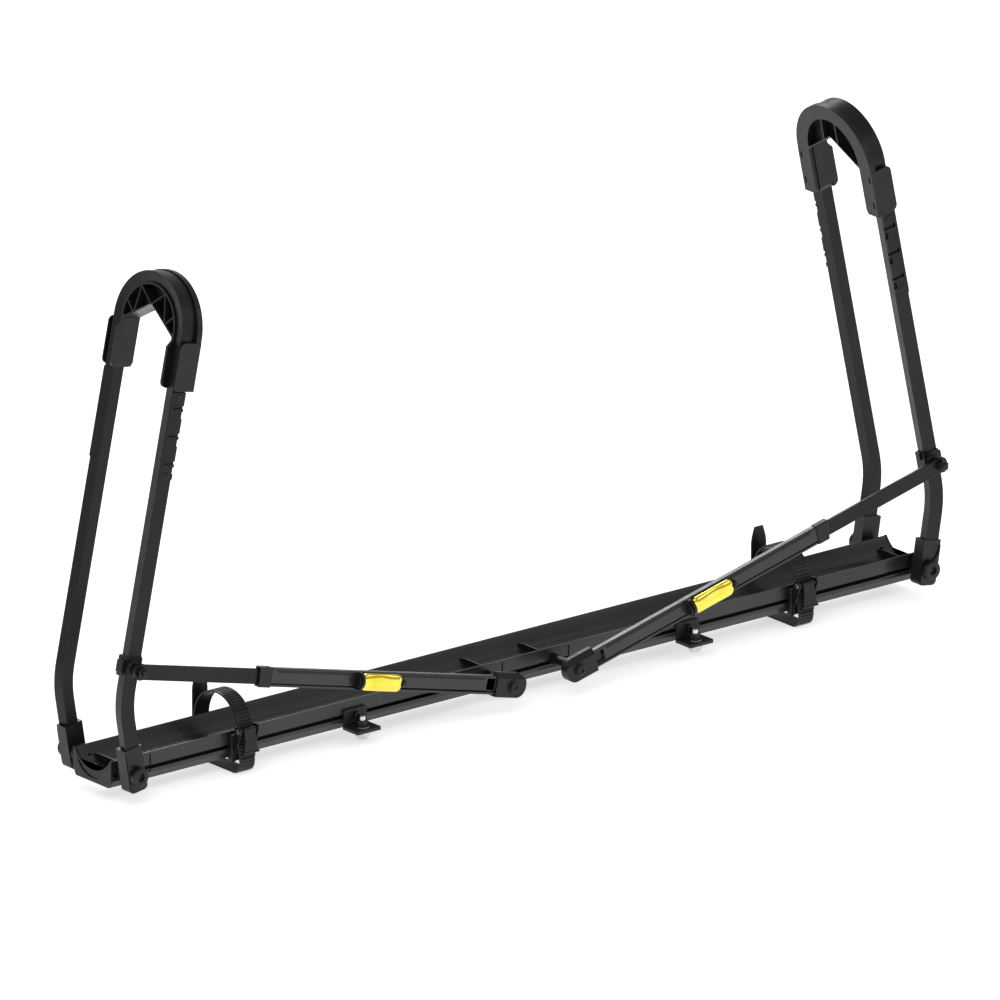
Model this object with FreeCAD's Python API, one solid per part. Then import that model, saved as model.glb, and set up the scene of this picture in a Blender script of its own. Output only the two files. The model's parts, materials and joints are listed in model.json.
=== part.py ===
import FreeCAD, Part
import math
import os

from FreeCAD import Placement, Rotation, Vector

# Wheel tray of a hitch mounted bike rack with two folding hoop arms and their ratchet struts.
# Frame: origin at the centre of the tray's flat underside, X along the tray, +Z up,
# and -Y is the side of the struts and buckles. Each right-hand piece (+X) is mirrored for the left.

# ---- Driving dimensions, in millimetres and degrees ----
TRAY_HALF_LENGTH = 674.0
TRAY_HALF_WIDTH = 39.2
TRAY_HALF_BOTTOM = 34.2
TRAY_HEIGHT = 37.5
TROUGH_RADIUS = 44.3
TROUGH_CENTRE_Z = 61.0
CAP_FLANGE = 4.0

PIVOT_X = 660.0
PIVOT_Z = 23.2
POST_X = 55.3
POST_Z = 20.8
BOLT_RADIUS = 4.0
RUNNING_GAP = 0.06

LEG_OUTER_Y = 70.0
KNUCKLE_INNER_Y = 52.8
KNUCKLE_FACE_Y = 73.6
LEG_INNER_Y = 55.0
LEG_OUTER_HALF = 11.0
LEG_INNER_HALF = 8.5
LEG_WALL = 2.0
LEAN = 12.05
LEG_BEND = 21.59
LEG_BEND_RADIUS = 129.8
LEG_BASE = Vector(665.2, 0, 172.7)
ARCH_U = 438.5
BEND_U = -28.6
LOWER_LEG_LENGTH = 87.3
KNEE_U = -2.2

STRUT_BACK_Y = -82.5
STRUT_FRONT_Y = -91.5
STRUT_HALF = 12.4
CHANNEL_START = 28.5
CHANNEL_END = 411.0
COLLAR_END = 430.0
BAR_START = 206.0
BAR_HALF = 10.25
BAR_BACK_Y = -84.0
BAR_FRONT_Y = -89.0

LATCH_START = 193.0
LATCH_END = 262.0
LATCH_AXIS_Y = -95.5

BRACKET_X = 277.3
BRACKET_BOLT_Z = 16.6
CLAMP_Y = -57.0
STRAP_X = 466.0
STRAP_HALF = 12.5
BUCKLE_PIN_Y = -55.8
BUCKLE_PIN_Z = 40.2


# ---- Shape helpers ----
def box(x0, x1, y0, y1, z0, z1):
    return Part.makeBox(x1 - x0, y1 - y0, z1 - z0, Vector(x0, y0, z0))


def rod(along, start, length, radius, tip_radius=None):
    """Cylinder or cone from start; along is 'x', 'y' or 'z', and a negative length runs back."""
    axis = {"x": Vector(1, 0, 0), "y": Vector(0, 1, 0), "z": Vector(0, 0, 1)}[along]
    if length < 0:
        axis = -axis
    if tip_radius is None or tip_radius == radius:
        return Part.makeCylinder(radius, abs(length), Vector(*start), axis)
    return Part.makeCone(radius, tip_radius, abs(length), Vector(*start), axis)


def face_from(plane, start, *steps):
    """Closed face. Each step is a point, or the middle and end points of an arc."""
    place = {
        "xz": lambda p: Vector(p[0], 0, p[1]),
        "yz": lambda p: Vector(0, p[0], p[1]),
        "xy": lambda p: Vector(p[0], p[1], 0),
    }[plane]
    edges = []
    here = start
    for step in steps + (start,):
        is_arc = isinstance(step[0], tuple)
        end = step[1] if is_arc else step
        if end != here:
            if is_arc:
                edges.append(Part.Arc(place(here), place(step[0]), place(end)).toShape())
            else:
                edges.append(Part.LineSegment(place(here), place(end)).toShape())
        here = end
    return Part.Face(Part.Wire(edges))


def prism(plane, low, high, start, *steps):
    """Outline in a plane, extruded between two places on the third axis."""
    third = {"xz": Vector(0, 1, 0), "yz": Vector(1, 0, 0), "xy": Vector(0, 0, 1)}[plane]
    face = face_from(plane, start, *steps)
    face.translate(third * low)
    return face.extrude(third * (high - low))


def rounded(plane, low, high, a0, a1, b0, b1, radius):
    """Block with four rounded corners in a plane."""
    k = radius * (1 - math.sqrt(0.5))
    return prism(
        plane, low, high, (a0 + radius, b0), (a1 - radius, b0),
        ((a1 - k, b0 + k), (a1, b0 + radius)), (a1, b1 - radius),
        ((a1 - k, b1 - k), (a1 - radius, b1)), (a0 + radius, b1),
        ((a0 + k, b1 - k), (a0, b1 - radius)), (a0, b0 + radius),
        ((a0 + k, b0 + k), (a0 + radius, b0)))


def join(pieces):
    return pieces[0].fuse(pieces[1:]).removeSplitter()


def ribbon(points, radii, thickness, x0, x1):
    """Flat band of constant thickness along a route in the YZ plane with rounded corners."""
    legs = []
    for a, b in zip(points, points[1:]):
        length = math.dist(a, b)
        legs.append(((b[0] - a[0]) / length, (b[1] - a[1]) / length))
    sides = []
    for offset in (thickness / 2, -thickness / 2):
        start = (points[0][0] - legs[0][1] * offset, points[0][1] + legs[0][0] * offset)
        steps = []
        for corner, radius, before, after in zip(points[1:-1], radii, legs, legs[1:]):
            cross = before[0] * after[1] - before[1] * after[0]
            turn = math.atan2(cross, before[0] * after[0] + before[1] * after[1])
            back = radius * math.tan(abs(turn) / 2)
            sign = 1 if turn > 0 else -1
            first = (corner[0] - before[0] * back, corner[1] - before[1] * back)
            centre = (first[0] - before[1] * sign * radius, first[1] + before[0] * sign * radius)
            reach = radius - sign * offset
            angle = math.atan2(first[1] - centre[1], first[0] - centre[0])
            spots = []
            for part in (0, 0.5, 1):
                bearing = angle + turn * part
                spots.append((centre[0] + reach * math.cos(bearing), centre[1] + reach * math.sin(bearing)))
            steps.append(spots)
        end = (points[-1][0] - legs[-1][1] * offset, points[-1][1] + legs[-1][0] * offset)
        sides.append((start, steps, end))
    start, steps, end = sides[0]
    outline = []
    for first, middle, last in steps:
        outline += [first, (middle, last)]
    outline.append(end)
    back_start, back_steps, back_end = sides[1]
    outline.append(back_end)
    for first, middle, last in reversed(back_steps):
        outline += [last, (middle, first)]
    outline.append(back_start)
    return prism("yz", x0, x1, start, *outline)


def on_leg(shape):
    """From the upper leg's own frame (X outboard, Z up the lean) to the part's frame."""
    placed = shape.copy()
    placed.Placement = Placement(LEG_BASE, Rotation(Vector(0, 1, 0), -LEAN))
    return placed


def knee_point():
    lean = math.radians(LEAN)
    return Vector(LEG_BASE.x - KNEE_U * math.sin(lean), 0, LEG_BASE.z + KNEE_U * math.cos(lean))


def strut_length():
    return math.hypot(knee_point().x - POST_X, knee_point().z - POST_Z)


def on_strut(shape):
    """From the strut's own frame (X from post to knee, Z across it) to the part's frame."""
    rise = math.degrees(math.atan2(knee_point().z - POST_Z, knee_point().x - POST_X))
    placed = shape.copy()
    placed.Placement = Placement(Vector(POST_X, 0, POST_Z), Rotation(Vector(0, 1, 0), -rise))
    return placed


def mirrored(shape):
    return shape.mirror(Vector(0, 0, 0), Vector(1, 0, 0))


# ---- Tray and what is fixed to it ----
def trough_steps():
    """Trough from the back lip to the front lip, with fine ribs along its floor."""
    rib_height = 0.5
    rib_turn = 1.1
    pitch_turn = 4.4
    rib_rows = 11

    def spot(radius, turn):
        angle = math.radians(turn)
        return (radius * math.sin(angle), TROUGH_CENTRE_Z - radius * math.cos(angle))

    lip_turn = math.degrees(math.acos((TROUGH_CENTRE_Z - TRAY_HEIGHT) / TROUGH_RADIUS))
    steps = [spot(TROUGH_RADIUS, lip_turn)]
    turn = lip_turn
    for row in range(rib_rows):
        rib = (rib_rows // 2 - row) * pitch_turn + rib_turn / 2
        steps.append((spot(TROUGH_RADIUS, (turn + rib) / 2), spot(TROUGH_RADIUS, rib)))
        steps.append(spot(TROUGH_RADIUS - rib_height, rib))
        turn = rib - rib_turn
        steps.append(spot(TROUGH_RADIUS - rib_height, turn))
        steps.append(spot(TROUGH_RADIUS, turn))
    steps.append((spot(TROUGH_RADIUS, (turn - lip_turn) / 2), spot(TROUGH_RADIUS, -lip_turn)))
    return steps


def side_slot(sign):
    """T-slot of one side wall, from the top corner down to the bottom corner or back."""
    slot = [(0.0, 19.3), (2.0, 19.3), (2.0, 22.9), (8.0, 22.9), (8.0, 10.4), (2.0, 10.4), (2.0, 14.0), (0.0, 14.0)]
    steps = [(sign * (TRAY_HALF_WIDTH - depth), z) for depth, z in slot]
    return steps if sign < 0 else steps[::-1]


def tray_outline_arc(radius):
    half = math.sqrt(radius ** 2 - (TROUGH_CENTRE_Z - TRAY_HEIGHT) ** 2)
    return half, TROUGH_CENTRE_Z - radius


def tray():
    half = TRAY_HALF_WIDTH
    outline = [(half, TRAY_HEIGHT)] + trough_steps() + [(-half, TRAY_HEIGHT)] + side_slot(-1)
    outline += [(-half, 9.4), (-TRAY_HALF_BOTTOM, 0.0), (TRAY_HALF_BOTTOM, 0.0), (half, 9.4)] + side_slot(1)
    body = prism("yz", -TRAY_HALF_LENGTH, TRAY_HALF_LENGTH, *outline)
    body = body.cut(cavity(2 * TRAY_HALF_LENGTH, 0.0))
    cuts = []
    for sign in (-1, 1):
        for front in (-1, 1):
            side = front * TRAY_HALF_WIDTH
            for centre, reach in ((PIVOT_X - 16, 32.0), (POST_X, 26.0)):
                low = min(side, side - front * 1.5)
                cuts.append(box(sign * centre - reach, sign * centre + reach, low, low + 1.5, 10.9, 34.4))
            cuts.append(rod("y", (sign * PIVOT_X, side, PIVOT_Z), -front * 13.0, BOLT_RADIUS + 0.1))
        cuts.append(rod("y", (sign * POST_X, -TRAY_HALF_WIDTH, POST_Z), 13.0, BOLT_RADIUS + 0.1))
    return body.cut(cuts)


def cavity(length, gap):
    """Hollow under the trough; a gap makes the plug that enters it."""
    y = TRAY_HALF_WIDTH - 10.5 - gap
    radius = TROUGH_RADIUS + 3.2 + gap
    z = TROUGH_CENTRE_Z - math.sqrt(radius ** 2 - y ** 2)
    return prism("yz", -length / 2, length / 2, (y, z), ((0, TROUGH_CENTRE_Z - radius), (-y, z)),
                 (-y, 2.5 + gap), (y, 2.5 + gap))


def end_cap():
    flange_x = TRAY_HALF_LENGTH + 0.05
    face_x = TRAY_HALF_LENGTH + CAP_FLANGE
    top = TRAY_HEIGHT + 0.5
    side = TRAY_HALF_WIDTH + 0.5
    half, low = tray_outline_arc(TROUGH_RADIUS)
    flange = prism("yz", flange_x, face_x, (side, top), (half, top), ((0, low), (-half, top)), (-side, top),
                   (-side, 9.4), (-TRAY_HALF_BOTTOM, 0.0), (TRAY_HALF_BOTTOM, 0.0), (side, 9.4))
    plug_length = 14.0
    plug = cavity(plug_length, 0.25)
    plug.translate(Vector(TRAY_HALF_LENGTH - plug_length / 2 + 0.05, 0, 0))
    hollow = cavity(plug_length, 2.5)
    hollow.translate(Vector(TRAY_HALF_LENGTH - plug_length / 2 - 2, 0, 0))
    radius = TROUGH_RADIUS + 3.0
    tip = 32.0
    tip_z = TROUGH_CENTRE_Z - math.sqrt(radius ** 2 - tip ** 2)
    recess = prism("yz", face_x - 1.6, face_x + 1, (tip, tip_z), ((0, TROUGH_CENTRE_Z - radius), (-tip, tip_z)),
                   ((0, 5.5), (tip, tip_z)))
    return join([flange, plug]).cut([recess, hollow])


def tray_bulkheads():
    """Thin ridges across the trough over the pivots and the posts."""
    bottom = TROUGH_RADIUS - 0.55
    foot = 27.0
    foot_z = TROUGH_CENTRE_Z - math.sqrt(bottom ** 2 - foot ** 2)
    pieces = []
    inboard = 7.0
    for x in (inboard - PIVOT_X, inboard - POST_X, POST_X - inboard, PIVOT_X - inboard):
        pieces.append(prism("yz", x - 1.2, x + 1.2, (foot, foot_z), ((0, TROUGH_CENTRE_Z - bottom), (-foot, foot_z)),
                            (-14.0, 28.8), (14.0, 28.8)))
    return Part.makeCompound(pieces)


def socket_head(start_y, x, z, radius, height, socket):
    """Head of a bolt along Y, with its socket, facing away from the tray."""
    sign = 1 if start_y > 0 else -1
    head = rod("y", (x, start_y, z), sign * (height - 1), radius)
    rim = rod("y", (x, start_y + sign * (height - 1), z), sign, radius, radius - 1)
    hollow = rod("y", (x, start_y + sign * height, z), -sign * height * 0.6, socket)
    return join([head, rim]).cut(hollow)


def pivot_bolts():
    pieces = []
    for front in (-1, 1):
        head = socket_head(front * (KNUCKLE_FACE_Y + 0.1), PIVOT_X, PIVOT_Z, 12.8, 6.7, 5.5)
        start = TRAY_HALF_WIDTH - 9.0
        shank = rod("y", (PIVOT_X, front * start, PIVOT_Z), front * (KNUCKLE_FACE_Y + 1.1 - start), BOLT_RADIUS)
        pieces.append(join([head, shank]))
    return Part.makeCompound(pieces)


def pivot_spacers():
    pieces = []
    for front in (-1, 1):
        start = TRAY_HALF_WIDTH - 1.4
        cone = rod("y", (PIVOT_X, front * start, PIVOT_Z), front * (KNUCKLE_INNER_Y - 0.1 - start), 10.0, 13.0)
        bore = rod("y", (PIVOT_X, front * 30.0, PIVOT_Z), front * 30.0, BOLT_RADIUS + 0.1)
        pieces.append(cone.cut(bore))
    return Part.makeCompound(pieces)


def post_spacer():
    start = TRAY_HALF_WIDTH - 1.4
    tube = rod("y", (POST_X, -start, POST_Z), start - 80.8, 7.25)
    return tube.cut(rod("y", (POST_X, -30.0, POST_Z), -60.0, BOLT_RADIUS + 0.1))


def post_bolt():
    shank = rod("y", (POST_X, -27.0, POST_Z), -70.0, BOLT_RADIUS)
    washer = rod("y", (POST_X, -94.2, POST_Z), -1.0, 9.5)
    head = socket_head(-95.2, POST_X, POST_Z, 7.3, 3.4, 3.0)
    return join([shank, washer, head])


def beam_bracket():
    back = -TRAY_HALF_WIDTH - 0.1
    plate = rounded("xz", back - 3.9, back, BRACKET_X - 18.5, BRACKET_X + 18.5, 0.0, 26.0, 2.5)
    foot = rounded("xy", 0.0, 4.0, BRACKET_X - 20.0, BRACKET_X + 20.0, -72.5, back, 3.0)
    slot = rounded("xy", -1.0, 5.0, BRACKET_X - 9.0, BRACKET_X + 9.0, CLAMP_Y - 4.5, CLAMP_Y + 4.5, 4.49)
    hole = rod("y", (BRACKET_X, back - 10.0, BRACKET_BOLT_Z), 15.0, 3.1)
    return join([plate, foot]).cut([slot, hole])


def bracket_bolt():
    face = -TRAY_HALF_WIDTH - 4.1
    head = rod("y", (BRACKET_X, face, BRACKET_BOLT_Z), -5.0, 5.5)
    socket = rod("y", (BRACKET_X, face - 5.4, BRACKET_BOLT_Z), 3.5, 2.6)
    shank = rod("y", (BRACKET_X, face, BRACKET_BOLT_Z), 8.0, 2.4)
    nut = box(BRACKET_X - 8, BRACKET_X + 8, face + 6.2, face + 11.6, BRACKET_BOLT_Z - 5.8, BRACKET_BOLT_Z + 5.8)
    return join([head, shank, nut]).cut(socket)


def clamp_bolt():
    stud = rod("z", (BRACKET_X, CLAMP_Y, -2.0), 21.0, 4.2)
    neck = rod("z", (BRACKET_X, CLAMP_Y, -4.0), 3.0, 10.3)
    dome = rod("z", (BRACKET_X, CLAMP_Y, -4.0), -8.0, 10.3, 6.5)
    return join([stud, neck, dome])


def clamp_nut():
    corners = []
    for corner in range(6):
        angle = math.radians(60 * corner)
        corners.append((BRACKET_X + 7.5 * math.cos(angle), CLAMP_Y + 7.5 * math.sin(angle)))
    body = prism("xy", 5.2, 13.0, *corners)
    flange = rod("z", (BRACKET_X, CLAMP_Y, 5.2), 2.0, 8.8)
    return join([body, flange]).cut(rod("z", (BRACKET_X, CLAMP_Y, 0.0), 20.0, 4.3))


def clamp_washers():
    pieces = []
    for low, high in ((-0.95, -0.05), (4.05, 5.15)):
        ring = rod("z", (BRACKET_X, CLAMP_Y, low), high - low, 9.6)
        pieces.append(ring.cut(rod("z", (BRACKET_X, CLAMP_Y, -3.0), 10.0, 4.4)))
    return Part.makeCompound(pieces)


# ---- Wheel straps ----
def strap_base():
    back = -TRAY_HALF_WIDTH - 0.1
    block = rounded("xz", -47.6, back, STRAP_X - 20.0, STRAP_X + 20.0, -3.0, 34.0, 3.0)
    foot = box(STRAP_X - 16, STRAP_X + 16, -43.0, -TRAY_HALF_BOTTOM - 0.6, -3.0, -0.1)
    groove = box(STRAP_X - 13, STRAP_X + 13, -48.6, -45.1, -5.0, 6.0)
    return join([block, foot]).cut(groove)


def strap():
    near = -51.1
    far = TRAY_HALF_WIDTH + 1.8
    tail = far + 3.1
    route = [(far, 6.0), (far, 80.7), (near, 80.7), (near, 12.0), (near - 4.0, -2.0), (near - 0.5, -19.0),
             (tail, -19.0), (tail, 93.7)]
    radii = [45.9, 45.9, 30.0, 11.0, 13.0, 12.0]
    return ribbon(route, radii, 2.5, STRAP_X - STRAP_HALF, STRAP_X + STRAP_HALF)


def at_buckle(shape):
    """From the buckle pin's own YZ frame to the part's frame."""
    placed = shape.copy()
    placed.translate(Vector(STRAP_X, BUCKLE_PIN_Y, BUCKLE_PIN_Z))
    return placed


def buckle_frame():
    pieces = [rounded("xz", 6.1, 8.1, -16.0, 16.0, -33.0, -6.0, 3.0)]
    for x in (-16.0, 13.6):
        pieces.append(prism("yz", x, x + 2.4, (7.2, -29.0), (0.2, -17.0), (-4.4, -3.0), ((-3.8, 3.5), (2.2, 6.0)),
                            (7.2, 5.0)))
    return at_buckle(join(pieces).cut(rod("x", (-20, 0, 0), 40.0, 2.1)))


def buckle_pin():
    ends = [rod("x", (-17.5, 0, 0), 1.4, 3.4), rod("x", (16.1, 0, 0), 1.4, 3.4)]
    return at_buckle(join([rod("x", (-17.5, 0, 0), 35.0, 2.0)] + ends))


def buckle_lever():
    side = prism("yz", -13.0, 13.0, (1.0, 2.4), ((-1.8, 4.0), (-5.3, 1.5)), (-8.3, -27.0), ((-9.3, -29.4), (-7.3, -29.8)),
                 (-4.4, -27.5), (-2.4, -5.0), (2.2, -1.5))
    bell = prism("xz", -20.0, 20.0, (-9.0, 7.0), (-9.0, -5.0), ((-9.8, -19.0), (-13.5, -30.0)), (-13.5, -39.0),
                 (13.5, -39.0), (13.5, -30.0), ((9.8, -19.0), (9.0, -5.0)), (9.0, 7.0))
    hub = rod("x", (-13.0, 0, 0), 26.0, 3.2)
    bore = rod("x", (-20, 0, 0), 40.0, 2.0 + RUNNING_GAP)
    return at_buckle(join([side.common(bell), hub]).cut(bore))


# ---- Hoop arm ----
def leg_face(side, wall, u):
    """Trapezoid section of a leg at height u, offset inwards by a wall."""
    slope = (LEG_OUTER_HALF - LEG_INNER_HALF) / (LEG_OUTER_Y - LEG_INNER_Y)
    outer = LEG_OUTER_Y - wall
    inner = LEG_INNER_Y + wall
    wide = LEG_OUTER_HALF - wall * (1 + slope)
    narrow = LEG_INNER_HALF - wall * (1 - slope)
    face = face_from("xy", (-wide, side * outer), (wide, side * outer), (narrow, side * inner), (-narrow, side * inner))
    face.translate(Vector(0, 0, u))
    return face


def leg_solid(side, wall, extra):
    """Leg from below the pivot up to the arch, in the upper leg's frame."""
    section = leg_face(side, wall, BEND_U)
    upper = section.extrude(Vector(0, 0, ARCH_U - BEND_U))
    centre = Vector(-LEG_BEND_RADIUS, 0, BEND_U)
    bend = section.revolve(centre, Vector(0, 1, 0), LEG_BEND)
    end = section.copy()
    end.rotate(centre, Vector(0, 1, 0), LEG_BEND)
    turn = math.radians(LEG_BEND)
    reach = LOWER_LEG_LENGTH + extra
    lower = end.extrude(Vector(-math.sin(turn), 0, -math.cos(turn)) * reach)
    return [upper, bend, lower]


def hoop_solid(wall, extra):
    arch = leg_face(-1, wall, ARCH_U).revolve(Vector(0, 0, ARCH_U), Vector(-1, 0, 0), 180)
    return join([arch] + leg_solid(-1, wall, extra) + leg_solid(1, wall, extra))


def pivot_hole(y0, y1, radius):
    return rod("y", (PIVOT_X, y0, PIVOT_Z), y1 - y0, radius)


def hoop():
    tube = on_leg(hoop_solid(0, 0).cut(hoop_solid(LEG_WALL, 20)))
    return tube.cut(pivot_hole(-90, 90, BOLT_RADIUS + RUNNING_GAP))


def knuckle(front):
    """Moulded foot round a leg's end, in line with the lower leg, that turns on the pivot bolt."""
    half = 14.0
    top = 39.5
    bottom = -22.0
    low, high = sorted((front * KNUCKLE_INNER_Y, front * (KNUCKLE_FACE_Y - 2.2)))
    sleeve = prism("xz", low, high, (-half, top), (-half, bottom + 6), ((-half + 1.8, bottom + 1.8), (-half + 6, bottom)),
                   (half - 6, bottom), ((half - 1.8, bottom + 1.8), (half, bottom + 6)), (half, top))
    pad_low, pad_high = sorted((front * (KNUCKLE_FACE_Y - 2.3), front * KNUCKLE_FACE_Y))
    pad = prism("xz", pad_low, pad_high, (-half + 1, 2.0), (-half + 1, bottom + 7),
                ((-half + 2.8, bottom + 2.8), (-half + 7, bottom + 1)), (half - 7, bottom + 1),
                ((half - 2.8, bottom + 2.8), (half - 1, bottom + 7)), (half - 1, 33.0), ((6.0, 14.0), (-half + 1, 2.0)))
    body = join([sleeve, pad])
    body.Placement = Placement(Vector(PIVOT_X, 0, PIVOT_Z), Rotation(Vector(0, 1, 0), LEG_BEND - LEAN))
    leg = on_leg(join(leg_solid(front, 0, 0)))
    return body.cut([leg, pivot_hole(-90, 90, BOLT_RADIUS + RUNNING_GAP)])


STRIP_SCREWS_U = (255.3, 358.8)
NOTCH_U = (346.0, 309.2, 272.5)


def index_strips():
    pieces = []
    for front in (-1, 1):
        low, high = sorted((front * LEG_OUTER_Y, front * (LEG_OUTER_Y + 2.5)))
        plate = prism("xz", low, high, (10.8, 245.2), (10.8, 365.7), (-10.8, 365.7), (-10.8, 251.4), (-5.0, 245.2))
        cuts = []
        for u in NOTCH_U:
            cuts.append(rod("y", (4.3, -90, u), 180.0, 3.0))
            cuts.append(box(-11.5, 4.3, -90, 90, u - 2.0, u + 2.0))
            cuts.append(box(-12.0, -7.2, -90, 90, u - 15.0, u - 6.0))
        for u in STRIP_SCREWS_U:
            cuts.append(rod("y", (0, -90, u), 180.0, 2.3))
        pieces.append(on_leg(plate.cut(cuts)))
    return Part.makeCompound(pieces)


def strip_screws():
    pieces = []
    for front in (-1, 1):
        for u in STRIP_SCREWS_U:
            head = rod("y", (0, front * 72.55, u), front * 1.2, 4.8, 3.6)
            shank = rod("y", (0, front * 72.55, u), -front * 2.5, 2.2)
            socket = rod("y", (0, front * 75, u), -front * 2.0, 1.5)
            pieces.append(on_leg(join([head, shank]).cut(socket)))
    return Part.makeCompound(pieces)


def knee_clamp():
    sleeve = rounded("xz", -71.6, -53.4, -12.6, 12.6, -14.2, 13.4, 2.0)
    lug = rounded("xz", -69.0, -57.0, 12.0, 17.5, -9.0, 8.0, 2.0)
    tab = rounded("xz", -66.0, -60.0, -15.5, -12.0, 5.0, 15.0, 1.5)
    boss = rod("y", (0, -71.6, KNEE_U), -2.6, 11.5, 8.5)
    spacer = rod("y", (0, -74.2, KNEE_U), -7.5, 6.8)
    leg = join(leg_solid(-1, 0, 0))
    return on_leg(join([sleeve, lug, tab, boss, spacer]).cut(leg))


# ---- Wheel saddle ----
SADDLE_FOOT_U = 367.8
FLAP_TOP_U = 432.2
FLAP_OUTER_Y = 76.0
LINER_RADIUS = 54.7
LINER_INNER_Y = 50.5
LINER_SHOULDER_U = 434.0
APEX_U = 465.0
POCKET_RADIUS = 51.8
POCKET_LOW_U = 439.0
SADDLE_WALL_X = (-19.6, -11.3)
LINER_OUTBOARD_X = 11.0
LINER_EDGE_X = 17.5
SLOT_U = (421.0, 384.0)


def arch_outline(low_x, high_x, inner, shoulder, top):
    """Arch down to the saddle's foot, with the inverted V of its underside."""
    foot = SADDLE_FOOT_U
    outer = shoulder[0]
    return prism("yz", low_x, high_x, (-outer, foot), (-outer, shoulder[1]), ((0, top), shoulder), (outer, foot),
                 (inner + 3, foot), (inner, foot + 6), (inner, LINER_SHOULDER_U), (4.0, APEX_U - 1.5),
                 ((0, APEX_U), (-4.0, APEX_U - 1.5)), (-inner, LINER_SHOULDER_U), (-inner, foot + 6), (-inner - 3, foot))


def crown_pocket(x0, x1, ribs):
    """Space under the crown between an arc and the inverted V, divided by thin ribs."""
    inset = 2.6
    reach = math.sqrt(POCKET_RADIUS ** 2 - (POCKET_LOW_U - ARCH_U) ** 2)
    space = prism("yz", x0, x1, (-reach, POCKET_LOW_U), ((0, ARCH_U + POCKET_RADIUS), (reach, POCKET_LOW_U)),
                  (48.0, POCKET_LOW_U), (0, APEX_U + inset), (-48.0, POCKET_LOW_U))
    webs = []
    for (ya, ua), (yb, ub) in ribs:
        length = math.hypot(yb - ya, ub - ua)
        web = box(x0 - 1, x1 + 1, -1.1, 1.1, -2, length + 2)
        web.rotate(Vector(0, 0, 0), Vector(1, 0, 0), -math.degrees(math.atan2(yb - ya, ub - ua)))
        web.translate(Vector(0, ya, ua))
        webs.append(web)
    return space.cut(webs)


def truss_ribs():
    """Zigzag from the inverted V up to the arc."""
    tops = []
    for turn in (-66, -28, 28, 66):
        angle = math.radians(turn)
        tops.append((POCKET_RADIUS * math.sin(angle), ARCH_U + POCKET_RADIUS * math.cos(angle)))
    feet = []
    for y in (-32.0, 0.0, 32.0):
        feet.append((y, APEX_U - abs(y) * (APEX_U - LINER_SHOULDER_U) / LINER_INNER_Y))
    ribs = []
    for index, foot in enumerate(feet):
        ribs.append((foot, tops[index]))
        ribs.append((foot, tops[index + 1]))
    return ribs


def saddle():
    wall = arch_outline(*SADDLE_WALL_X, LINER_RADIUS - 2.4, (FLAP_OUTER_Y - 0.5, FLAP_TOP_U),
                        ARCH_U + LEG_OUTER_Y + 1.5)
    liner = arch_outline(SADDLE_WALL_X[1] - 2.0, LINER_OUTBOARD_X, LINER_INNER_Y, (LINER_RADIUS, ARCH_U),
                         ARCH_U + LINER_RADIUS)
    pieces = [wall, liner]
    foot = SADDLE_FOOT_U
    for front in (-1, 1):
        low, high = sorted((front * (FLAP_OUTER_Y - 1.9), front * FLAP_OUTER_Y))
        pieces.append(prism("xz", low, high, (SADDLE_WALL_X[0], foot), (5.3, foot), ((11.0, foot + 2.3), (13.3, foot + 8)),
                            (13.3, FLAP_TOP_U - 8), ((11.0, FLAP_TOP_U - 2.3), (5.3, FLAP_TOP_U)),
                            (SADDLE_WALL_X[0], FLAP_TOP_U)))
        low, high = sorted((front * LINER_INNER_Y, front * LINER_RADIUS))
        corner = LINER_EDGE_X - 8
        pieces.append(prism("xz", low, high, (LINER_OUTBOARD_X - 3, foot), (corner, foot),
                            ((LINER_EDGE_X - 2.3, foot + 2.3), (LINER_EDGE_X, foot + 8)),
                            (LINER_EDGE_X, LINER_SHOULDER_U - 12), (LINER_OUTBOARD_X - 3, LINER_SHOULDER_U)))
    cuts = [crown_pocket(-3.0, 20.0, truss_ribs())]
    cuts.append(crown_pocket(-30.0, -7.0, [((-14, 450), (-14, 500)), ((14, 450), (14, 500))]))
    for front in (-1, 1):
        for u in SLOT_U:
            cuts.append(box(-30.0, -16.0, front * 70.5 - 1.5, front * 70.5 + 1.5, u - 4.5, u + 4.5))
            cuts.append(rod("y", (4.5, front * 90, u), -front * 14.6, 1.1))
    return on_leg(join(pieces).cut(cuts))


# ---- Ratchet strut ----
def strut_channel():
    outer = box(CHANNEL_START, CHANNEL_END, STRUT_FRONT_Y, STRUT_BACK_Y, -STRUT_HALF, STRUT_HALF)
    hollow = box(0, 500, BAR_FRONT_Y - 0.3, BAR_BACK_Y + 0.3, -BAR_HALF - 0.3, BAR_HALF + 0.3)
    slot = box(0, 500, STRUT_FRONT_Y - 1, BAR_FRONT_Y, -9.2, -7.4)
    window = box(CHANNEL_START + 2, 44.0, STRUT_FRONT_Y - 1, BAR_FRONT_Y, -6.0, 9.0)
    bevel = prism("yz", 0, 500, (STRUT_FRONT_Y - 1, STRUT_HALF + 1), (STRUT_FRONT_Y - 1, STRUT_HALF - 1.2),
                  (STRUT_FRONT_Y, STRUT_HALF - 1.2), (STRUT_FRONT_Y + 1.2, STRUT_HALF),
                  (STRUT_FRONT_Y + 1.2, STRUT_HALF + 1))
    return on_strut(outer.cut([hollow, slot, window, bevel]))


def rack_strip():
    """Toothed strip on the channel's face."""
    pitch = 5.6
    first = 50.0
    count = int((CHANNEL_END - 4 - first) / pitch)
    points = [(first, 9.6)]
    for tooth in range(count):
        left = first + tooth * pitch
        points += [(left, 6.6), (left + 2.6, 6.6), (left + 2.6, 8.4), (left + pitch, 8.4)]
    points.append((first + count * pitch, 9.6))
    return on_strut(prism("xz", STRUT_FRONT_Y - 0.8, STRUT_FRONT_Y - 0.02, *points))


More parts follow.
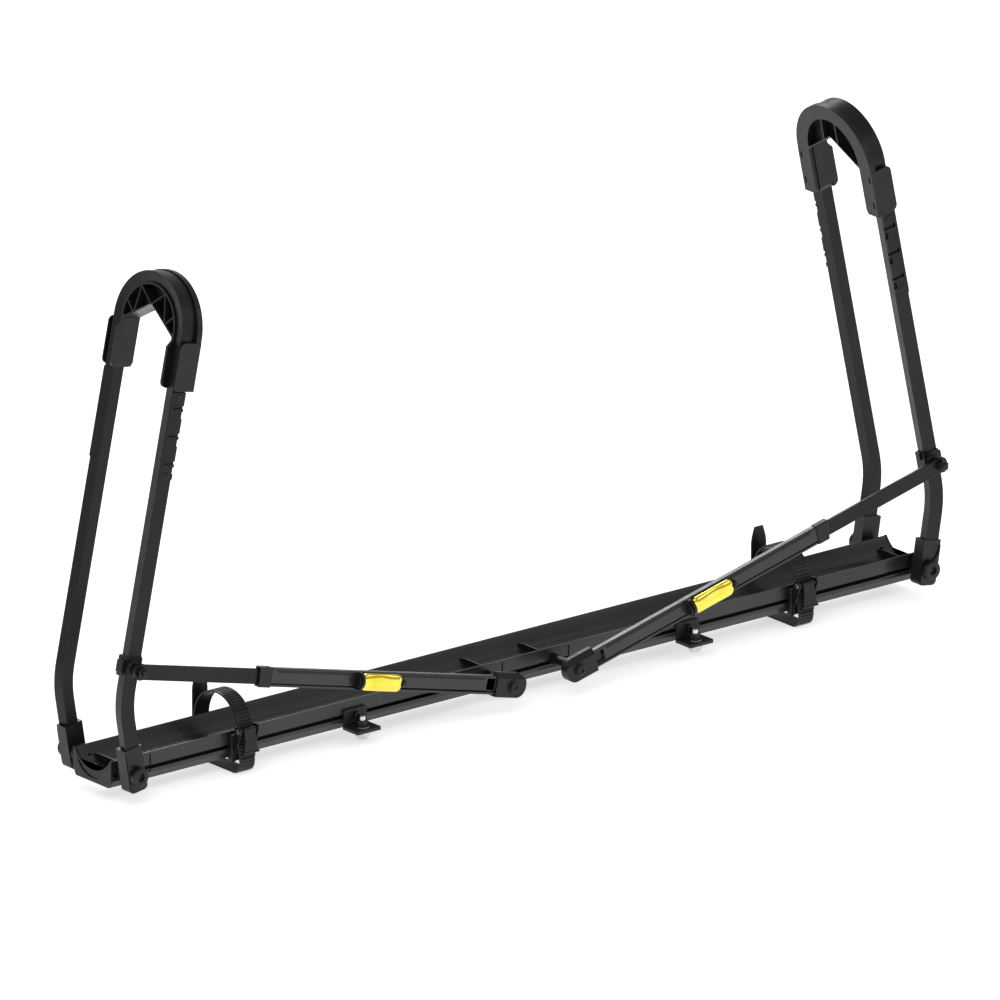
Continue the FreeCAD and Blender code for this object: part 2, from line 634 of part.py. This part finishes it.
def strut_collar():
    outer = prism("xz", -92.5, -82.0, (CHANNEL_END, -13.6), (COLLAR_END, -13.6), (COLLAR_END + 3, 13.6),
                  (CHANNEL_END, 13.6))
    hole = box(400, 440, BAR_FRONT_Y - 0.3, BAR_BACK_Y + 0.3, -BAR_HALF - 0.3, BAR_HALF + 0.3)
    return on_strut(outer.cut(hole))


def strut_cap():
    outer = prism("xz", -94.0, -81.0, (CHANNEL_START, -15.0), (CHANNEL_START, 17.0), (-4.0, 17.0),
                  ((-16.5, 13.0), (-21.0, 1.0)), ((-16.5, -11.0), (-4.0, -15.0)))
    tongue = box(CHANNEL_START - 1, 40.0, BAR_FRONT_Y - 0.1, BAR_BACK_Y + 0.1, -BAR_HALF, BAR_HALF)
    bevel = prism("yz", -40, CHANNEL_START + 1, (-95.0, 18.0), (-95.0, 10.0), (-94.0, 10.0), (-87.5, 17.0), (-87.5, 18.0))
    bore = rod("y", (0, -100, 0), 30.0, BOLT_RADIUS + RUNNING_GAP)
    return on_strut(join([outer.cut(bevel), tongue]).cut(bore))


def latch_housing(barrel_at_start):
    """Base on the channel's face with a stepped barrel at one end of the release lever and a lug at the other."""
    base = box(LATCH_START - 4, LATCH_END + 4, -92.9, STRUT_FRONT_Y - 0.85, -6.0, 7.0)
    ends = [(LATCH_START - 0.3, -4.0), (LATCH_END + 0.3, 4.0)]
    if not barrel_at_start:
        ends.reverse()
    (start, length), (lug_start, lug_length) = ends
    centre_y = LATCH_AXIS_Y + 1.5
    pieces = [rod("x", (start, centre_y, 0), length, 11.5), rod("x", (start + length, centre_y, 0), length * 0.8, 9.0),
              rod("x", (lug_start, LATCH_AXIS_Y, 0), lug_length, 4.6)]
    behind = box(100, 350, STRUT_FRONT_Y - 0.85, -70, -20, 20)
    bore = rod("x", (LATCH_START - 4.5, LATCH_AXIS_Y, 0), LATCH_END - LATCH_START + 9.0, 2.5 + RUNNING_GAP)
    return on_strut(join([join(pieces).cut(behind), base]).cut(bore))


def latch_paddle():
    """Convex finger lever on its own hinge pin."""
    shell = prism("yz", LATCH_START, LATCH_END, (-95.4, -12.0), ((-100.2, -0.5), (-95.4, 11.0)), (-94.4, 9.2),
                  ((-98.2, -0.5), (-94.4, -10.2)))
    corners = rounded("xz", -110, -90, LATCH_START, LATCH_END, -12.2, 11.2, 8.0)
    pin = rod("x", (LATCH_START - 4.2, LATCH_AXIS_Y, 0), LATCH_END - LATCH_START + 8.4, 2.5)
    web = box(LATCH_START + 8, LATCH_END - 8, -99.0, LATCH_AXIS_Y + 1.5, -1.8, 1.8)
    return on_strut(join([shell.common(corners), pin, web]))


def strut_bar():
    length = strut_length()
    bar = box(BAR_START, length, BAR_FRONT_Y, BAR_BACK_Y, -BAR_HALF, BAR_HALF)
    eye = rod("y", (length, BAR_FRONT_Y, 0), BAR_BACK_Y - BAR_FRONT_Y, 11.2)
    boss = rod("y", (length, BAR_BACK_Y, 0), 2.1, 8.2)
    bore = rod("y", (length, -95, 0), 20.0, BOLT_RADIUS + 0.1)
    return on_strut(join([bar, eye, boss]).cut(bore))


def knee_bolt():
    length = strut_length()
    shank = rod("y", (length, -82.0, 0), -15.5, BOLT_RADIUS)
    tip = rod("y", (length, -97.5, 0), -2.5, 5.2, 3.2)
    collar = rod("y", (length, -95.6, 0), -2.0, 5.2)
    corners = []
    for corner in range(6):
        angle = math.radians(60 * corner + 12)
        corners.append((length + 8.0 * math.cos(angle), 8.0 * math.sin(angle)))
    nut = prism("xz", -95.8, BAR_FRONT_Y - 0.05, *corners)
    return on_strut(join([shank, collar, tip, nut]))


# ---- Output: one STEP file per node ----
def write(node, shape):
    shape.exportStep("parts/" + node + ".step")


def write_both_sides(node, shape):
    write(node + "_right", shape)
    write(node + "_left", mirrored(shape))


def write_group(node, shape):
    """One node that holds the right-hand pieces and their mirror images."""
    write(node, Part.makeCompound(shape.Solids + mirrored(shape).Solids))


def main():
    os.makedirs("parts", exist_ok=True)
    write("tray", tray())
    write("tray_bulkheads", tray_bulkheads())
    for make in (end_cap, pivot_bolts, pivot_spacers, beam_bracket, strap_base, strap, buckle_frame, buckle_lever,
                 hoop, index_strips, strip_screws, knee_clamp, saddle, strut_channel, rack_strip, strut_collar,
                 strut_cap, latch_paddle, strut_bar, knee_bolt):
        write_both_sides(make.__name__, make())
    write("latch_housing_right", latch_housing(True))
    write("latch_housing_left", mirrored(latch_housing(False)))
    write_both_sides("knuckle_front", knuckle(-1))
    write_both_sides("knuckle_back", knuckle(1))
    for node, make in (("post_spacers", post_spacer), ("post_bolts", post_bolt), ("bracket_bolts", bracket_bolt),
                       ("clamp_bolts", clamp_bolt), ("clamp_nuts", clamp_nut), ("clamp_washers", clamp_washers),
                       ("buckle_pins", buckle_pin)):
        write_group(node, make())


main()
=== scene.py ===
import json
import math

import bmesh
import bpy
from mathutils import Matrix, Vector


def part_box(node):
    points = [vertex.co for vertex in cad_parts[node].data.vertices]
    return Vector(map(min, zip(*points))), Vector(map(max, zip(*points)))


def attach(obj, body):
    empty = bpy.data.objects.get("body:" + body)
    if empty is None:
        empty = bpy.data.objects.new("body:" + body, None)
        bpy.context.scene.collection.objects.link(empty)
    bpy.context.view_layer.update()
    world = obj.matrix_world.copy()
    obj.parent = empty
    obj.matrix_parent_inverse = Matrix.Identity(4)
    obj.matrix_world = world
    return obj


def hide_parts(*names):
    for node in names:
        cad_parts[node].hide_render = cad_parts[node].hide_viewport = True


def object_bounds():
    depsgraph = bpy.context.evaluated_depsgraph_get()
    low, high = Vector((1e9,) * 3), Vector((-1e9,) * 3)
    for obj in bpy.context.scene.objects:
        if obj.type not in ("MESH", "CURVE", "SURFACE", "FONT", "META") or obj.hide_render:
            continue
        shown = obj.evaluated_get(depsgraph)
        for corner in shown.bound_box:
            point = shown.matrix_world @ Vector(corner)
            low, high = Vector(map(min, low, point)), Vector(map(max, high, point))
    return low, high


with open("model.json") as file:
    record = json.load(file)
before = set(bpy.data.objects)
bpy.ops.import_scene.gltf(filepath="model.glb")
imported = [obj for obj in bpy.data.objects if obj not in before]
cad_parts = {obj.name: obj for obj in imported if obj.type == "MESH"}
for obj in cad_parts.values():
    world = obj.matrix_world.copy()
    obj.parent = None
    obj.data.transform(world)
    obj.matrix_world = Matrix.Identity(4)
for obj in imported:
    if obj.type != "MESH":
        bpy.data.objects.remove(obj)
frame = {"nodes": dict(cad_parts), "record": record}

CAD_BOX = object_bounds()
SIDES = (("left", -1), ("right", 1))
MM = 0.001
RECORD_JOINTS = {joint["name"]: joint for joint in frame["record"]["behaviour"]["joints"]}

# ---- Camera: angles in degrees, lengths in metres ----
CAMERA_ROUND = 38.66
CAMERA_UP = 18.79
CAMERA_DISTANCE = 50.0
CAMERA_CLIP = (1.0, 200.0)
SENSOR_WIDTH = 36.0  # millimetres, as Blender counts it
VIEW_WIDTH = 1.302253
AIM_ABOVE_TRAY = 0.1920823
AIM_LEFT_OF_MIDDLE = 0.0023441


def add_camera():
    """Very long lens, so nearly orthographic, looking down from the left of the front."""
    yaw, pitch = math.radians(CAMERA_ROUND), math.radians(CAMERA_UP)
    ahead = Vector((math.sin(yaw) * math.cos(pitch), math.cos(yaw) * math.cos(pitch), -math.sin(pitch)))
    right = Vector((math.cos(yaw), -math.sin(yaw), 0))
    up = right.cross(ahead)
    tray_top = Vector((0, 0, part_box("tray")[1].z))
    target = tray_top + up * AIM_ABOVE_TRAY - right * AIM_LEFT_OF_MIDDLE
    data = bpy.data.cameras.new("camera")
    data.sensor_width = SENSOR_WIDTH
    data.lens = SENSOR_WIDTH * CAMERA_DISTANCE / VIEW_WIDTH
    data.clip_start, data.clip_end = CAMERA_CLIP
    camera = bpy.data.objects.new("camera", data)
    camera.location = target - ahead * CAMERA_DISTANCE
    camera.rotation_mode = "QUATERNION"
    camera.rotation_quaternion = ahead.to_track_quat("-Z", "Y")
    bpy.context.scene.collection.objects.link(camera)
    bpy.context.scene.camera = camera


# ---- Studio: lengths in metres, powers in watts ----
LIGHTS = (
    # name, place, target, size, power
    ("key", (-2.5, -2.2, 3.2), (0, 0, 0.2), (2.4, 1.6), 36),
    ("fill", (2.6, -3.0, 2.0), (0, 0, 0.2), (2.0, 1.4), 12),
    ("rim", (1.0, 3.2, 2.6), (0, 0, 0.3), (2.6, 1.2), 60),
)
WORLD_STRENGTH = 0.5
FLOOR_HALF = 12.0
FLOOR_GAP = 0.5 * MM
FLOOR_LEVEL = 0.93
FLOOR_ROUGHNESS = 0.7
FLOOR_SPECULAR = 0.1
FLOOR_GLOW = 0.6


def add_area(name, place, target, size, power):
    data = bpy.data.lights.new(name, "AREA")
    data.shape = "RECTANGLE"
    data.size, data.size_y = size
    data.energy = power
    light = bpy.data.objects.new(name, data)
    light.location = place
    light.rotation_mode = "QUATERNION"
    light.rotation_quaternion = (Vector(target) - Vector(place)).to_track_quat("-Z", "Y")
    bpy.context.scene.collection.objects.link(light)


def add_world():
    """Even white surroundings. The Standard transform keeps the white background white."""
    bpy.context.scene.view_settings.view_transform = "Standard"
    world = bpy.data.worlds.new("studio")
    world.use_nodes = True
    background = world.node_tree.nodes["Background"]
    background.inputs["Color"].default_value = (1.0, 1.0, 1.0, 1.0)
    background.inputs["Strength"].default_value = WORLD_STRENGTH
    bpy.context.scene.world = world


def add_floor():
    """Flat white floor just under the part. It glows a little, so that it stays white in the shade."""
    mesh = bpy.data.meshes.new("floor")
    half, low = FLOOR_HALF, CAD_BOX[0].z - FLOOR_GAP
    corners = [(-half, -half, low), (half, -half, low), (half, half, low), (-half, half, low)]
    mesh.from_pydata(corners, [], [(0, 1, 2, 3)])
    floor = bpy.data.objects.new("floor", mesh)
    bpy.context.scene.collection.objects.link(floor)
    paint = bpy.data.materials.new("floor_paint")
    paint.use_nodes = True
    shader = paint.node_tree.nodes["Principled BSDF"]
    shader.inputs["Base Color"].default_value = (FLOOR_LEVEL, FLOOR_LEVEL, FLOOR_LEVEL, 1)
    shader.inputs["Roughness"].default_value = FLOOR_ROUGHNESS
    shader.inputs["Specular IOR Level"].default_value = FLOOR_SPECULAR
    shader.inputs["Emission Color"].default_value = (1, 1, 1, 1)
    shader.inputs["Emission Strength"].default_value = FLOOR_GLOW
    mesh.materials.append(paint)


# ---- Materials ----
COLOR_SPREAD = (0.35, 0.65)
ROUGHNESS_SPREAD = (0.3, 0.7)
BLUE_TINT = 1.03


def gray(level):
    return (level, level, level * BLUE_TINT)


class Shader:
    """A principled material with helpers that wire procedural detail to it."""

    def __init__(self, name, metallic=0.0, specular=0.5):
        self.material = bpy.data.materials.new(name)
        self.material.use_nodes = True
        self.nodes = self.material.node_tree.nodes
        self.links = self.material.node_tree.links
        self.bsdf = self.nodes["Principled BSDF"]
        self.bsdf.inputs["Metallic"].default_value = metallic
        self.bsdf.inputs["Specular IOR Level"].default_value = specular
        self.coordinates = self.nodes.new("ShaderNodeTexCoord").outputs["Object"]

    def noise(self, scale, detail=4.0, rough=0.55, stretch=(1, 1, 1)):
        mapping = self.nodes.new("ShaderNodeMapping")
        mapping.inputs["Scale"].default_value = stretch
        self.links.new(self.coordinates, mapping.inputs["Vector"])
        noise = self.nodes.new("ShaderNodeTexNoise")
        noise.inputs["Scale"].default_value = scale
        noise.inputs["Detail"].default_value = detail
        noise.inputs["Roughness"].default_value = rough
        self.links.new(mapping.outputs["Vector"], noise.inputs["Vector"])
        return noise.outputs["Fac"]

    def color(self, factor, low, high):
        """Base colour that runs from low to high over the middle of the factor's range."""
        ramp = self.nodes.new("ShaderNodeValToRGB")
        for element, position, shade in zip(ramp.color_ramp.elements, COLOR_SPREAD, (low, high)):
            element.position = position
            element.color = (*shade, 1)
        self.links.new(factor, ramp.inputs["Fac"])
        self.links.new(ramp.outputs["Color"], self.bsdf.inputs["Base Color"])

    def mottle(self, scale, level, darker=0.8, lighter=1.25):
        """Nearly neutral colour that drifts between a darker and a lighter share of its level."""
        self.color(self.noise(scale), gray(level * darker), gray(level * lighter))

    def roughness(self, factor, low, high):
        spread = self.nodes.new("ShaderNodeMapRange")
        spread.inputs["From Min"].default_value, spread.inputs["From Max"].default_value = ROUGHNESS_SPREAD
        spread.inputs["To Min"].default_value = low
        spread.inputs["To Max"].default_value = high
        self.links.new(factor, spread.inputs["Value"])
        self.links.new(spread.outputs["Result"], self.bsdf.inputs["Roughness"])

    def bump(self, height, strength, distance):
        bump = self.nodes.new("ShaderNodeBump")
        bump.inputs["Strength"].default_value = strength
        bump.inputs["Distance"].default_value = distance
        self.links.new(height, bump.inputs["Height"])
        self.links.new(bump.outputs["Normal"], self.bsdf.inputs["Normal"])


def anodised(name, level):
    """Extruded aluminium, with fine streaks along its length."""
    shader = Shader(name, specular=0.42)
    shader.mottle(9.0, level)
    streaks = shader.noise(60.0, detail=3.0, rough=0.6, stretch=(0.05, 6.0, 6.0))
    shader.roughness(streaks, low=0.22, high=0.36)
    shader.bump(streaks, strength=0.12, distance=0.4 * MM)
    return shader.material


def powder_coat(name, level):
    shader = Shader(name, specular=0.22)
    shader.mottle(14.0, level)
    shader.roughness(shader.noise(35.0), low=0.3, high=0.42)
    shader.bump(shader.noise(1900.0, detail=2.0, rough=0.5), strength=0.10, distance=0.3 * MM)
    return shader.material


def moulded(name, level, smoothest=0.27):
    shader = Shader(name, specular=0.27)
    shader.mottle(18.0, level, lighter=1.3)
    shader.roughness(shader.noise(55.0), low=smoothest, high=0.42)
    shader.bump(shader.noise(2600.0, detail=2.0, rough=0.5), strength=0.14, distance=0.2 * MM)
    return shader.material


def oxide_steel(name, level):
    shader = Shader(name, metallic=0.35, specular=0.3)
    shader.mottle(120.0, level, darker=0.7, lighter=1.5)
    shader.roughness(shader.noise(260.0), low=0.22, high=0.42)
    shader.bump(shader.noise(900.0, detail=3.0), strength=0.08, distance=0.2 * MM)
    return shader.material


def plated(name, low, high):
    shader = Shader(name, metallic=1.0)
    shader.color(shader.noise(90.0, detail=5.0), low, high)
    shader.roughness(shader.noise(420.0), low=0.18, high=0.34)
    shader.bump(shader.noise(700.0, detail=3.0), strength=0.06, distance=0.2 * MM)
    return shader.material


def polished_gold(name):
    shader = Shader(name, metallic=1.0)
    shader.color(shader.noise(25.0), (0.80, 0.60, 0.05), (0.92, 0.74, 0.12))
    shader.roughness(shader.noise(180.0, detail=5.0), low=0.05, high=0.12)
    shader.bump(shader.noise(45.0, detail=1.0), strength=0.05, distance=2.0 * MM)
    return shader.material


# Each slot's finish, with its base level, or its darkest and lightest colour.
FINISHES = {
    "anodised_black": (anodised, 0.019),
    "paint_black": (powder_coat, 0.006),
    "plastic_black": (moulded, 0.008),
    "strap_black": (moulded, 0.010, 0.3),
    "bolt_black": (oxide_steel, 0.014),
    "bolt_bright": (plated, (0.35, 0.35, 0.36), (0.5, 0.5, 0.51)),
    "bracket_black": (powder_coat, 0.02),
    "zinc": (plated, (0.5, 0.5, 0.51), (0.68, 0.68, 0.69)),
    "gold": (polished_gold,),
}


# ---- CAD nodes: rounded edges (widths in millimetres) and materials ----
EDGE_WIDTHS = {
    "tray": 0,  # its ribs are finer than a rounded edge
    "tray_bulkheads": 0.4, "end_cap": 1.0, "hoop": 2.6, "knuckle_front": 2.2, "knuckle_back": 2.2,
    "saddle": 1.6, "knee_clamp": 1.2, "strut_channel": 0.8, "strut_collar": 1.6, "strut_cap": 2.4,
    "strut_bar": 0.8, "latch_housing": 0.8, "buckle_frame": 0.8, "buckle_lever": 1.1, "strap_base": 1.4,
    "beam_bracket": 1.0, "index_strips": 0.6, "rack_strip": 0.2, "pivot_bolts": 0.8, "clamp_nuts": 0.6,
    "clamp_bolts": 0.8,
}
SMALL_EDGE = 0.35
WELD_DISTANCE = 0.01 * MM
FLAT_ANGLE = math.radians(0.5)
EDGE_ANGLE = math.radians(35.0)
EDGE_SEGMENTS = 2


def soften(piece, width):
    """Small rounded edges, by modifiers only."""
    weld = piece.modifiers.new("weld", "WELD")
    weld.merge_threshold = WELD_DISTANCE
    flat = piece.modifiers.new("flat", "DECIMATE")
    flat.decimate_type = "DISSOLVE"
    flat.angle_limit = FLAT_ANGLE
    bevel = piece.modifiers.new("edges", "BEVEL")
    bevel.width = width * MM
    bevel.segments = EDGE_SEGMENTS
    bevel.limit_method = "ANGLE"
    bevel.angle_limit = EDGE_ANGLE
    bevel.use_clamp_overlap = True
    bevel.harden_normals = False
    piece.modifiers.new("normals", "WEIGHTED_NORMAL").keep_sharp = True


def base_name(node):
    for side, _ in SIDES:
        node = node.removesuffix("_" + side)
    return node


def dress_frame(materials):
    slots = {row["node"]: row["material_slot"] for row in frame["record"]["subparts"]}
    for name, piece in frame["nodes"].items():
        piece.data.materials.clear()
        piece.data.materials.append(materials[slots[name]])
        width = EDGE_WIDTHS.get(base_name(name), SMALL_EDGE)
        if width:
            soften(piece, width)


# ---- New pieces ----
def add_piece(name, mesh, material, body, node):
    piece = bpy.data.objects.new(name, mesh)
    bpy.context.scene.collection.objects.link(piece)
    mesh.materials.append(material)
    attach(piece, body)
    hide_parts(node)


def grid_mesh(name, rows):
    """Surface through equal closed rows of points, with its end rows capped."""
    mesh = bpy.data.meshes.new(name)
    bm = bmesh.new()
    lines = [[bm.verts.new(point) for point in row] for row in rows]
    count = len(lines[0])
    for first, second in zip(lines, lines[1:]):
        for index in range(count):
            after = (index + 1) % count
            bm.faces.new((first[index], first[after], second[after], second[index]))
    bm.faces.new(lines[0][::-1])
    bm.faces.new(lines[-1])
    bmesh.ops.recalc_face_normals(bm, faces=bm.faces)
    bm.to_mesh(mesh)
    bm.free()
    return mesh


# ---- Ladder straps, in millimetres ----
STRAP_NEAR_Y = -51.1
STRAP_FAR_Y = 41.0
STRAP_TAIL_Y = 44.1
STRAP_TOP_Z = 80.7
STRAP_LOW_Z = -19.0
STRAP_TAIL_Z = 93.7
STRAP_ARCH_RADIUS = 45.9
# Depth, height and corner radius: up the far side, over the top, down the near side, under the tray
# and up the far side again.
STRAP_ROUTE = (
    (STRAP_FAR_Y, 6.0, 0),
    (STRAP_FAR_Y, STRAP_TOP_Z, STRAP_ARCH_RADIUS),
    (STRAP_NEAR_Y, STRAP_TOP_Z, STRAP_ARCH_RADIUS),
    (STRAP_NEAR_Y, 12.0, 30.0),
    (STRAP_NEAR_Y - 4.0, -2.0, 11.0),
    (STRAP_NEAR_Y - 0.5, STRAP_LOW_Z, 13.0),
    (STRAP_TAIL_Y, STRAP_LOW_Z, 12.0),
    (STRAP_TAIL_Y, STRAP_TAIL_Z, 0),
)
ARC_STEPS = 24
STRAP_INSET = 0.02
STRAP_HALF_WIDTH = 12.5
STRAP_FACE = 2.5 / 2 - STRAP_INSET
STRAP_CHAMFER = 0.5
RAIL_CHAMFER = 0.3
LADDER_HALF_WIDTH = 8.8
LADDER_PITCH = 5.0
LADDER_DEPTHS = (0, 0.35, 1.0, 1.0, 0.35, 0, 0, 0)  # one gap and one rung, step by step
TAPER_STEPS = 40
TIP_SHARE = 0.55


def rounded_route(corners, step):
    """Evenly stepped points, with their directions, along a flat route with rounded corners."""
    path = [Vector(corners[0][:2])]
    for before, (*place, radius), after in zip(corners, corners[1:], corners[2:]):
        corner = Vector(place)
        arrive = (corner - Vector(before[:2])).normalized()
        leave = (Vector(after[:2]) - corner).normalized()
        turn = math.acos(max(-1.0, min(1.0, arrive.dot(leave))))
        start = corner - arrive * radius * math.tan(turn / 2)
        side = (leave - arrive * arrive.dot(leave)).normalized()
        centre = start + side * radius
        for part in range(ARC_STEPS + 1):
            angle = turn * part / ARC_STEPS
            path.append(centre - side * radius * math.cos(angle) + arrive * radius * math.sin(angle))
    path.append(Vector(corners[-1][:2]))
    spots = []
    travelled = 0.0
    wanted = 0.0
    for a, b in zip(path, path[1:]):
        length = (b - a).length
        while length > 1e-9 and wanted <= travelled + length:
            spots.append((a.lerp(b, (wanted - travelled) / length), (b - a).normalized()))
            wanted += step
        travelled += length
    return spots


def strap_section(width, depth):
    """Outline as (across, out) points: chamfered edges, and two rails beside a gap of that depth."""
    side, edge = width - STRAP_CHAMFER, STRAP_FACE - STRAP_CHAMFER
    rail = width * LADDER_HALF_WIDTH / STRAP_HALF_WIDTH
    lip, floor = rail + RAIL_CHAMFER, STRAP_FACE - depth
    return [(-width, -edge), (-side, -STRAP_FACE), (side, -STRAP_FACE), (width, -edge),
            (width, edge), (side, STRAP_FACE), (lip, STRAP_FACE), (rail, floor),
            (-rail, floor), (-lip, STRAP_FACE), (-side, STRAP_FACE), (-width, edge)]


def add_strap(side, materials):
    """Ladder strap: raised rails and rungs outside, a smooth back, and a tapered tail."""
    node = "strap_" + side
    low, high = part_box(node)
    middle_x = (low.x + high.x) / 2
    spots = rounded_route(STRAP_ROUTE, LADDER_PITCH / len(LADDER_DEPTHS))
    rows = []
    for number, (spot, along) in enumerate(spots):
        out = Vector((along.y, -along.x))
        left = len(spots) - 1 - number
        width = STRAP_HALF_WIDTH - STRAP_INSET
        depth = LADDER_DEPTHS[number % len(LADDER_DEPTHS)]
        if left < TAPER_STEPS:
            width *= TIP_SHARE + (1 - TIP_SHARE) * math.sin(math.pi / 2 * left / TAPER_STEPS)
            depth = 0
        row = []
        for across, lift in strap_section(width, depth):
            flat = (spot + out * lift) * MM
            row.append(Vector((middle_x + across * MM, flat.x, flat.y)))
        rows.append(row)
    mesh = grid_mesh("ladder_strap_" + side, rows)
    add_piece("ladder_strap_" + side, mesh, materials["strap_black"], "root", node)


# ---- Release levers, in millimetres ----
LEVER_HALF_LENGTH = 34.4
LEVER_HALF_HEIGHT = 11.6
LEVER_CORNER = 8.5
LEVER_SHARPEST = 0.4
LEVER_LIFT = 4.6
LEVER_LAYERS = 14
LEVER_CORNER_STEPS = 9
LEVER_SIDE_STEPS = 8
LEVER_CREST = 0.5
LEVER_DROP = 0.5
LEVER_ROLLED_EDGE = 1.1
THUMB_DIP = 0.3
THUMB_REACH = 13.0
LEVER_SMOOTH_ANGLE = math.radians(50)


def lever_outline(inset):
    """Rounded rectangle, inset from the lever's edge, as (along, across) points."""
    radius = max(LEVER_CORNER - inset, LEVER_SHARPEST)
    core_length = LEVER_HALF_LENGTH - inset - radius
    core_height = LEVER_HALF_HEIGHT - inset - radius
    points = []
    for quarter, (right, above) in enumerate(((1, 1), (-1, 1), (-1, -1), (1, -1))):
        for step in range(LEVER_CORNER_STEPS):
            angle = math.pi / 2 * (quarter + step / (LEVER_CORNER_STEPS - 1))
            points.append((right * core_length + radius * math.cos(angle),
                           above * core_height + radius * math.sin(angle)))
        if right == above:
            start, reach = points[-1], -2 * right * core_length
            for step in range(1, LEVER_SIDE_STEPS):
                points.append((start[0] + reach * step / LEVER_SIDE_STEPS, start[1]))
    return points


def add_paddle(side, sign, materials):
    """Convex release lever with rounded corners, a rolled edge and a shallow thumb dip."""
    node = "latch_paddle_" + side
    joint = RECORD_JOINTS["latch_press_" + side]
    centre = Vector(joint["pos_m"])
    slope = abs(joint["axis"][2])
    run = Vector((sign * math.sqrt(1 - slope ** 2), 0, slope))
    up = Vector((-sign * slope, 0, math.sqrt(1 - slope ** 2)))
    deepest = LEVER_HALF_HEIGHT - LEVER_CREST
    rows = []
    for layer in range(LEVER_LAYERS):
        inset = deepest * (1 - math.cos(math.pi / 2 * layer / (LEVER_LAYERS - 1)))
        rise = math.sqrt(1 - (1 - inset / LEVER_HALF_HEIGHT) ** 2)
        row = []
        for along, across in lever_outline(inset):
            dip = THUMB_DIP * rise * math.exp(-(along / THUMB_REACH) ** 2)
            out = Vector((0, -LEVER_LIFT * (rise - dip) * MM, 0))
            row.append(centre + run * (along * MM) + up * ((across - LEVER_DROP) * MM) + out)
        rows.append(row)
    back = [point + Vector((0, LEVER_ROLLED_EDGE * MM, 0)) for point in rows[0]]
    mesh = grid_mesh("release_lever_" + side, [back] + rows)
    add_piece("release_lever_" + side, mesh, materials["gold"], "latch_" + side, node)
    mesh.shade_smooth()
    mesh.set_sharp_from_angle(angle=LEVER_SMOOTH_ANGLE)


add_camera()
add_world()
for light in LIGHTS:
    add_area(*light)
add_floor()
materials = {slot: finish(slot, *values) for slot, (finish, *values) in FINISHES.items()}
dress_frame(materials)
for side, sign in SIDES:
    add_strap(side, materials)
    add_paddle(side, sign, materials)
